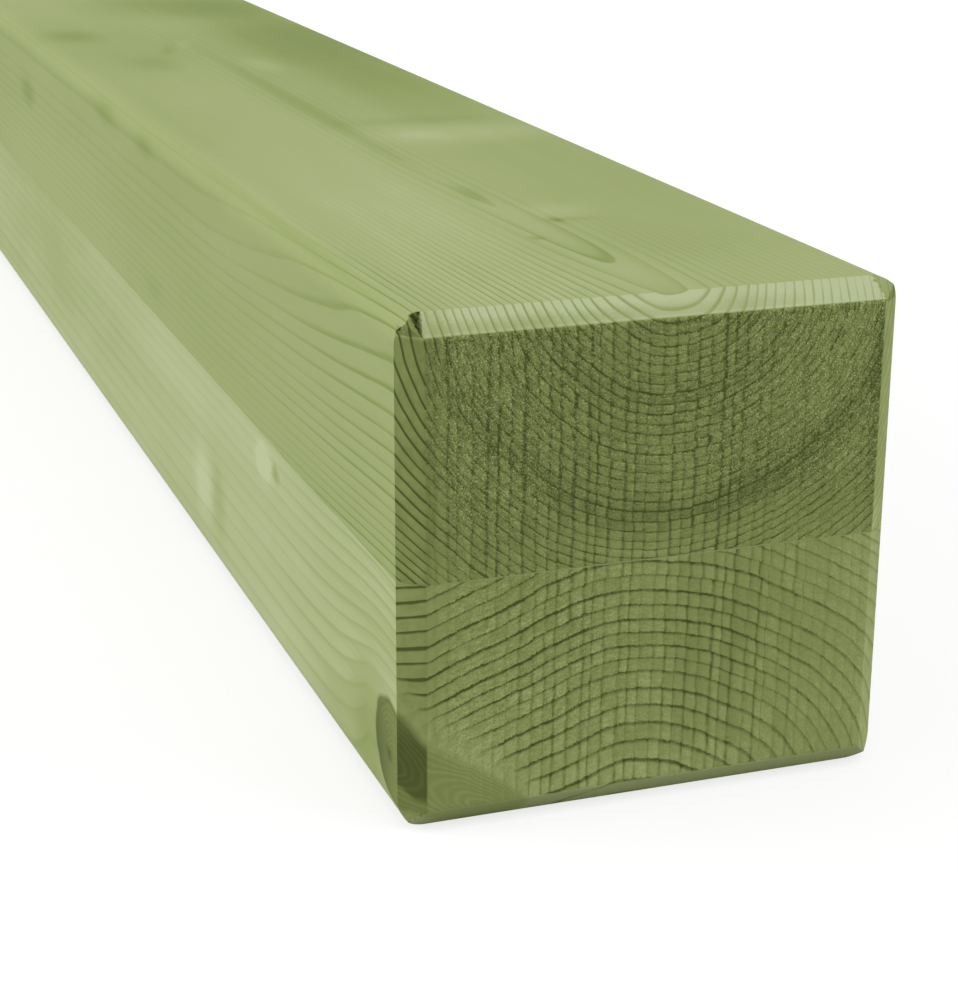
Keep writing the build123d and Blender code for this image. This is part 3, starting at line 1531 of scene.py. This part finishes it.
    def edge_tone(self, zones: Zones) -> Array:
        """How much paler or darker the arrises of the ends and the outer parts of their bevels are, most of
        it painted light and shade.

        Args:
            zones: where each vertex lies.

        Returns:
            The tone, positive where paler.
        """
        above = zones.z > 0
        # A painted highlight along the upper arrises, which also stands for their burnish.
        arris = zones.end * np.exp(-((zones.rim - 0.2) / 0.22) ** 2) * (zones.x > -self.shape.flat)
        # A painted shadow on the sawn face just inside the arrises.
        shadow = zones.face * np.exp(-((zones.rim + 0.5) / 0.7) ** 2)
        top_right = zones.bevel * zones.upright * step(zones.x, 12.0, 30.0)
        # Painted shade, darkening the underside's bevels towards their outer edge.
        foot = zones.bevel * zones.upright * step(zones.out_z, 3.1, 4.0) * (zones.z < 0)
        return above * (0.25 * arris - 0.4 * shadow + 0.36 * top_right) - 1.6 * foot

    @staticmethod
    def knot_tone(zones: Zones) -> Array:
        """How pale the knot is: most on the sawn face; on the left bevel raised as painted light, with a
        dark patch there that is partly the knot's end grain and partly painted shade.

        Args:
            zones: where each vertex lies.

        Returns:
            The tone, for the knot's palette.
        """
        left = zones.bevel * ~zones.upright * (zones.x < 0)
        foot = -39.0 + 2.2 * step(zones.y, 1.2, 4.0)
        dark = left * step(zones.z, foot - 0.5, foot + 0.5) * (1 - 0.35 * step(zones.z, -29.0, -25.5))
        # Painted light raises the knot on the left bevel; the dark patch there is partly painted shade.
        return 0.50 + 0.20 * zones.face + 0.18 * zones.bevel * left - 0.42 * dark

    @staticmethod
    def sawn_line_strength(zones: Zones) -> Array:
        """How dark the growth lines are on the sawn faces and the bevels.

        Args:
            zones: where each vertex lies.

        Returns:
            The strength, 1 on a plain sawn face.
        """
        uneven = 0.4 * step(zones.x, -8, -24) - 0.35 * step(zones.x, 8, 26)
        return zones.face * (1 + uneven * (zones.z < 0)) + zones.bevel * (0.5 + 1.5 * (zones.x < 0))

    @staticmethod
    def planed_line_strength(zones: Zones) -> Array:
        """How clear the growth lines are on the planed sides, most by the ends, and on the bevels.

        Args:
            zones: where each vertex lies.

        Returns:
            The strength.
        """
        x, along = zones.x, zones.along
        top = 0.10 + 1.35 * np.exp(-(along / 42) ** 2)
        top = top * (1 - 0.42 * step(x, -16.0, 2.0) - 0.28 * step(x, 8.0, 30.0))
        sides = 0.36 + 0.85 * np.exp(-(along / 50) ** 2)
        on_bevel = (1.15 - 0.45 * step(x, -15.0, 20.0)) * zones.bevel
        return np.maximum(np.where(zones.upright & (zones.z > 0), top, sides), on_bevel)

    def core_shade(self, zones: Zones, ring: Array) -> Array:
        """How much the upper board darkens through each of the years next to its pith.

        Args:
            zones: where each vertex lies.
            ring: the growth-ring count.

        Returns:
            The strength, most by the ends.
        """
        by_pith = step(ring, 4.6, 3.0) * (self.layer is Layer.UPPER)
        return by_pith * (0.3 + 0.7 * np.exp(-(zones.along / 90) ** 2))

    def marked_share(self, x: Array) -> Array:
        """How clear the saw marks are across the end: most in its middle."""
        middle, reach = (-9.0, 24.0) if self.layer is Layer.UPPER else (0.0, 23.0)
        return 0.3 + 0.7 * step(np.abs(x - middle), reach + 10.0, reach - 4.0)

    def torn_share(self, x: Array, z: Array) -> Array:
        """How torn the end grain is, from 0 to 1.

        Args:
            x: places across the end.
            z: heights on the end.

        Returns:
            The share: high at the upper board's sides and low round its middle, lower on the other board.
        """
        calm = 0.75 - 0.4 * step(z, 12.0, 25.0)
        by_arris = 1 - calm * step(x, -35.0, -41.0)
        if self.layer is Layer.LOWER:
            return (0.22 + 0.26 * step(x, 8.0, -16.0) * step(z, -40.0, -22.0)) * by_arris
        middle = np.exp(-(((x + 4) / 17) ** 2))
        return (0.95 - 0.3 * middle) * (0.6 + 0.4 * step(z, 4.0, 16.0)) * by_arris


@dataclass(frozen=True)
class GlueLine:
    """The thin cured film between the two laminations, planed and sawn off with them."""

    name: str
    shape: PostShape
    half_thickness: float
    finish: GlueFinish
    wave: float = 0.05

    def build(self) -> bpy.types.Object:
        """Makes the film as a closed strip with slightly uneven edges.

        Returns:
            The film, with its finish.
        """
        maker = MeshMaker()
        half, flat = self.shape.width / 2, self.shape.flat
        across = np.concatenate([[-half], np.linspace(-flat, flat, 83), [half]])
        far = np.linspace(480.0, self.shape.length - 6.0, 100)
        along = np.concatenate([np.arange(6.0, 480.0, 4.0), far])
        levels = []
        for height in (-self.half_thickness, self.half_thickness):
            ends = []
            for near in (True, False):
                recess = self.wave * (1 + np.sin(2.3 * across) * np.sin(0.7 * across + 1.0))
                depth = self.shape.bevel_depth(across, np.zeros(len(across))) + recess
                y = depth if near else self.shape.length - depth
                ends.append(maker.add(np.stack([across, y, np.full(len(across), height)], axis=1)))
            edges = []
            for sign in (-1, 1):
                x = sign * (half - self.wave * (1 + np.sin(0.31 * along) * np.sin(0.07 * along + sign)))
                edges.append(maker.add(np.stack([x, along, np.full(len(along), height)], axis=1)))
            maker.cover(np.stack(edges, axis=1))
            ends_at = np.array([0.0, 1.0])
            for row, place in ((ends[0], 0), (ends[1], -1)):
                pair = np.array([edges[0][place], edges[1][place]])
                maker.zip_rows(row, np.linspace(0, 1, len(row)), pair, ends_at)
            levels.append(np.concatenate([ends[0], edges[1], ends[1][::-1], edges[0][::-1], ends[0][:1]]))
        maker.cover(np.stack(levels, axis=1))
        piece = maker.build(self.name, self.shape, {})
        piece.data.materials.append(self.finish.material())
        return piece


@dataclass(frozen=True)
class Lamp:
    """One soft lamp of the studio: where its light comes from, its strength and its softness."""

    name: str
    toward: Point
    level: float
    softness: float

    def build(self) -> bpy.types.Object:
        """Hangs the lamp.

        Returns:
            The lamp, linked to the scene.
        """
        data = bpy.data.lights.new(self.name, "SUN")
        data.energy = self.level * np.pi
        data.angle = np.radians(self.softness)
        lamp = bpy.data.objects.new(self.name, data)
        lamp.rotation_euler = Vector(self.toward).to_track_quat("Z", "Y").to_euler()
        bpy.context.scene.collection.objects.link(lamp)
        return lamp


@dataclass(frozen=True)
class Studio:
    """A plain pale floor, soft light and the camera at the photograph's place."""

    camera_at: Point = (-0.1482, -1.5255, 0.1759)
    camera_forward: Point = (0.3186, 0.892, -0.3207)
    camera_up: Point = (0.1041, 0.3033, 0.9472)
    lens: float = 80.9
    sensor: float = 36.0
    floor_size: float = 24.0
    floor_gap: float = 0.1
    floor_glow: float = 0.72
    floor_shade: float = 0.36
    floor_bounce: float = 0.40
    ambient: float = 0.42
    lamps: tuple[Lamp, ...] = (
        Lamp("top_lamp", (0.0, -0.35, 0.94), 0.22, 50.0),
        Lamp("left_lamp", (-0.9, 0.35, 0.25), 0.62, 50.0),
        Lamp("right_lamp", (0.8, -0.45, 0.4), 0.30, 50.0),
    )

    def build(self) -> None:
        """Sets up the floor, the light and the camera."""
        bpy.context.scene.view_settings.view_transform = "Standard"
        self.floor()
        self.world()
        for lamp in self.lamps:
            lamp.build()
        self.camera()

    def floor(self) -> None:
        """Lays the floor, white to the camera, and duller to the light that it throws back."""
        mesh = bpy.data.meshes.new("floor")
        reach, level = self.floor_size / 2, -self.floor_gap * MM
        corners = [(x * reach, y * reach, level) for x, y in ((-1, -1), (1, -1), (1, 1), (-1, 1))]
        mesh.from_pydata(corners, [], [(0, 1, 2, 3)])
        floor = bpy.data.objects.new("floor", mesh)
        bpy.context.scene.collection.objects.link(floor)
        made = bpy.data.materials.new("pale_floor")
        made.use_nodes = True
        b = ShaderBench(made.node_tree)
        seen = self.seen_rays(b)
        diffuse = b.put("ShaderNodeBsdfDiffuse")
        duller = self.floor_shade - self.floor_bounce
        b.feed(diffuse.inputs["Color"], b.scaled(seen, duller, self.floor_bounce))
        glow = b.put("ShaderNodeEmission")
        b.feed(glow.inputs["Strength"], b.times(seen, self.floor_glow))
        both = b.put("ShaderNodeAddShader")
        b.feed(both.inputs[0], diffuse.outputs[0])
        b.feed(both.inputs[1], glow.outputs[0])
        output = b.put("ShaderNodeOutputMaterial")
        b.feed(output.inputs["Surface"], both.outputs[0])
        mesh.materials.append(made)

    @staticmethod
    def seen_rays(b: ShaderBench) -> Socket:
        """Tells the rays that show the background: the camera's, and those of gloss and glass.

        Args:
            b: the bench of the material or the world.

        Returns:
            A socket that is 1 for those rays and 0 for all others.
        """
        path = b.put("ShaderNodeLightPath").outputs
        glass = b.math("MAXIMUM", path["Is Glossy Ray"], path["Is Transmission Ray"])
        return b.math("MAXIMUM", path["Is Camera Ray"], glass)

    def world(self) -> None:
        """Makes the world white to the camera and soft on the object."""
        world = bpy.data.worlds.new("studio")
        bpy.context.scene.world = world
        world.use_nodes = True
        b = ShaderBench(world.node_tree)
        strength = b.scaled(self.seen_rays(b), 1.0 - self.ambient, self.ambient)
        background = b.put("ShaderNodeBackground")
        background.inputs["Color"].default_value = (1.0, 1.0, 1.0, 1.0)
        b.feed(background.inputs["Strength"], strength)
        output = b.put("ShaderNodeOutputWorld")
        b.feed(output.inputs["Surface"], background.outputs[0])

    def camera(self) -> None:
        """Sets the camera up."""
        forward = Vector(self.camera_forward).normalized()
        right = forward.cross(Vector(self.camera_up)).normalized()
        turn = Matrix((right, right.cross(forward), -forward)).transposed().to_4x4()
        data = bpy.data.cameras.new("camera")
        data.lens = self.lens
        data.sensor_width = self.sensor
        data.clip_start = 0.01
        camera = bpy.data.objects.new("camera", data)
        camera.matrix_world = Matrix.Translation(self.camera_at) @ turn
        bpy.context.scene.collection.objects.link(camera)
        bpy.context.scene.camera = camera


PLANED_GREENS = (
    (0.0, (114.0, 130.0, 66.0)), (0.35, (142.0, 157.0, 91.0)), (0.62, (160.0, 172.0, 112.0)),
    (0.8, (170.0, 181.0, 127.0)), (1.0, (197.0, 207.0, 161.0)))
SAWN_GREENS = (
    (0.0, (84.0, 95.0, 46.0)), (0.3, (119.0, 131.0, 76.0)), (0.5, (141.0, 153.0, 91.0)),
    (0.75, (158.0, 171.0, 105.0)), (1.0, (188.0, 200.0, 135.0)))
KNOT_GREENS = (
    (0.0, (82.0, 92.0, 50.0)), (0.3, (104.0, 115.0, 62.0)), (0.6, (132.0, 144.0, 82.0)),
    (1.0, (172.0, 185.0, 118.0)))


def upper_rings() -> GrowthRings:
    """The upper board's rings: its pith lies above the near end's top and comes down to the top face.

    Returns:
        The rings.
    """
    return GrowthRings(
        pith=((0, 3.3, 52.2), (4, 3.3, 51.7), (20, 2.65, 50.3), (35, 1.9, 49.0), (86, -0.4, 47.2),
              (130, -2.0, 46.15), (180, -2.3, 45.6), (300, -2.3, 45.3), (2400, -2.3, 45.3)),
        bands=((2, 1.24), (3, 2.42), (3, 1.95), (2, 1.46), (2, 1.61), (6, 1.73), (2, 1.65), (2, 1.56),
               (6, 1.72), (3, 1.45), (8, 1.57), (4, 1.25), (20, 1.3)),
        swell=((-90, 0.035, -0.043), (-60, 0.064, -0.011), (-42, 0.023, -0.019), (-20, 0.03, 0.012),
               (0, 0.004, 0.01), (25, 0.007, -0.013), (50, 0.005, -0.019), (90, -0.006, -0.057)),
        drift_kept=(0.7, 0.2), drift_fade=22.0, layer=Layer.UPPER,
        dark_years=((25.2, 1.5, -0.6), (13.5, 1.2, -0.25), (29.0, 1.0, 0.2)))


def lower_rings() -> GrowthRings:
    """The lower board's rings: wider, round a pith well below the underside.

    Returns:
        The rings.
    """
    return GrowthRings(
        pith=((0, -3, -60), (1200, -3, -60), (2400, -3, -60)),
        bands=((5, 3.97), (2, 3.65), (2, 3.3), (2, 3.14), (4, 2.4), (6, 2.66), (3, 2.47), (3, 1.91),
               (20, 1.61)),
        swell=tuple((turn, share, share) for turn, share in (
            (-90, 0.004), (-52, 0.010), (-36, -0.001), (-24, -0.0155), (-16, -0.004), (-6, 0.006),
            (4, -0.009), (20, -0.021), (28, -0.0285), (36, -0.0195), (44, -0.005), (90, -0.019))),
        drift_kept=(1.0, 1.0), drift_fade=30.0, layer=Layer.LOWER)


def corner_knot() -> Knot:
    """The knot in the lower board's left corner, at the near end.

    Returns:
        The knot.
    """
    return Knot(apex=(-0.8, -10.3, -59.4), axis=(-0.809, 0.304, 0.486), half_angle=8.35,
                pushed_within=12.6, push=0.095, push_fade=8.0, inner_rings=10.0, tallness=1.1)


def upper_marks() -> tuple[Mark, ...]:
    """Patches and pin knots on the upper board's top, left side and near end.

    Returns:
        The marks.
    """
    top, left = Side.TOP, Side.LEFT
    return (
        Mark(top, -24, 70, 24, 100, 0.6),
        Mark(top, 14, 8, 34, 22, 0.35),
        Mark(top, 34, 120, 16, 60, -0.3),
        Mark(top, 9.5, 73, 6, 7, 0.5),
        Mark(top, 9.0, 64, 5, 1.6, -0.5),
        Mark(top, 6.2, 64, 1.3, 2.4, -1.3),
        Mark(top, -3.2, 50, 1.2, 1.8, -1.2),
        Mark(top, 20, 163, 22, 12, 0.7),
        Mark(top, 17, 184, 18, 5, -0.45),
        Mark(top, 28, 220, 20, 45, -0.65),
        Mark(top, -2.4, 215, 3.0, 90, -0.8),
        Mark(top, -43.5, 80, 1.3, 70, -0.8),
        Mark(top, -10, 331, 2.6, 15, -0.7, 0.3),
        Mark(top, -6, 338, 3.0, 11, 0.5, 0.3),
        Mark(top, -33, 366, 9, 15, -0.8),
        Mark(top, -21, 300, 6, 14, -0.5),
        Mark(top, -0.8, 93, 2.4, 10, -0.8),
        Mark(top, 7, 288, 5, 14, 0.5),
        Mark(top, 32, 330, 26, 90, -1.5),
        Mark(top, 18, 440, 30, 40, -1.2),
        Mark(top, -25, 340, 22, 60, -0.4),
        Mark(left, 22, 55, 24, 80, 0.22),
        Mark(left, 39.5, 200, 2.5, 10, -0.7),
        Mark(left, 40, 250, 3, 14, -0.7),
        Mark(left, 27, 380, 4, 12, -0.9),
        Mark(left, 6, 194, 2.5, 12, -0.3),
        Mark(left, 2, 340, 18, 120, 0.35),
        Mark(Side.END, -28, 30, 18, 18, -0.24),
        Mark(Side.END, -32, 1, 22, 5, 0.25),
        Mark(Side.END, 32, 1, 20, 5, 0.25),
        Mark(Side.END, 28, 15, 16, 8, -0.22),
        Mark(Side.END, 34, 40, 16, 8, 0.05),
        Mark(Side.END, 26, 30, 18, 14, -0.12),
        Mark(Side.END, 40.0, 24, 1.6, 16, -0.5),
    )


def lower_marks() -> tuple[Mark, ...]:
    """Patches on the lower board's left side and near end, with the pin knot under the glue line.

    Returns:
        The marks.
    """
    left = Side.LEFT
    return (
        Mark(left, -6, 91.5, 3.4, 5.5, 0.9),
        Mark(left, -5.6, 82, 1.4, 2.0, -1.1),
        Mark(left, -38, 32, 7, 22, -0.35),
        Mark(left, -35, 19, 12, 10, -1.0),
        Mark(left, -27.5, 148, 8.5, 8, 0.4),
        Mark(left, -27.5, 133, 8, 6, -0.3),
        Mark(left, -12, 390, 34, 140, -0.2),
        Mark(left, -33, 8.3, 1.0, 1.3, -1.3),
        Mark(Side.END, -6, -12, 46, 18, -0.24),
        Mark(Side.END, 0, -40, 17, 6, 0.4),
        Mark(Side.END, 7, -12, 3.5, 40, -0.25),
        Mark(Side.END, 15, -22, 1.6, 30, -0.3),
        Mark(Side.END, 39, -8, 4, 30, 0.2),
        Mark(Side.END, 28, -22, 16, 16, -0.1),
    )


def post_pieces(shape: PostShape, glue: float) -> list[tuple[str, Lamination | GlueLine]]:
    """The post's three pieces, each with the node that it stands for.

    Args:
        shape: the post's outline.
        glue: half of the glue line's thickness.

    Returns:
        Node names and the classes that build them.
    """
    # The bevels' paleness is partly painted light and shade for the side each faces; the underside's is
    # raised most, as the lamps reach it least.
    shared = {Side.TOP: BevelLook(0.0, 0.79), Side.UNDER: BevelLook(0.75, 2.7)}
    upper_bevels = shared | {Side.LEFT: BevelLook(0.95, -0.18), Side.RIGHT: BevelLook(0.75, 0.75)}
    lower_bevels = shared | {Side.LEFT: BevelLook(0.95, -0.45), Side.RIGHT: BevelLook(0.75, 0.05)}
    greens = {"planed": PLANED_GREENS, "sawn": SAWN_GREENS, "knot": KNOT_GREENS}
    lower_wood = WoodFinish("lower_wood", **greens, planed_tone=0.895, sawn_tone=0.74, planed_lines=0.10,
                            sawn_lines=0.56, saw_shift=0.03, torn=0.40, saw_marks_shade=0.37)
    upper_wood = WoodFinish("upper_wood", **greens, planed_tone=0.655, sawn_tone=0.50, planed_lines=0.35,
                            sawn_lines=0.46, saw_shift=0.08, torn=0.34, saw_marks_shade=0.36)
    lower = Lamination("lower_board", shape, Layer.LOWER, glue, lower_rings(), lower_wood, SawMarks(),
                       lower_bevels, lower_marks(), corner_knot())
    upper = Lamination("upper_board", shape, Layer.UPPER, glue, upper_rings(), upper_wood, SawMarks(),
                       upper_bevels, upper_marks())
    film = GlueLine("glue_film", shape, glue, GlueFinish())
    return [("lower_lamination", lower), ("upper_lamination", upper), ("glue_line", film)]


def main() -> None:
    """Builds the studio and the post."""
    logging.basicConfig(level=logging.INFO, format="%(message)s")
    low, high = cad_box
    width, length, height = (high - low) / MM
    film_low, film_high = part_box("glue_line")
    shape = PostShape(round(width, 3), round(height, 3), round(length, 3))
    Studio().build()
    for node, maker in post_pieces(shape, (film_high.z - film_low.z) / 2 / MM):
        piece = maker.build()
        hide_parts(node)
        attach(piece, BODY)
        log.info("%s stands for %s: %d vertices", piece.name, node, len(piece.data.vertices))


if __name__ == "__main__":
    main()
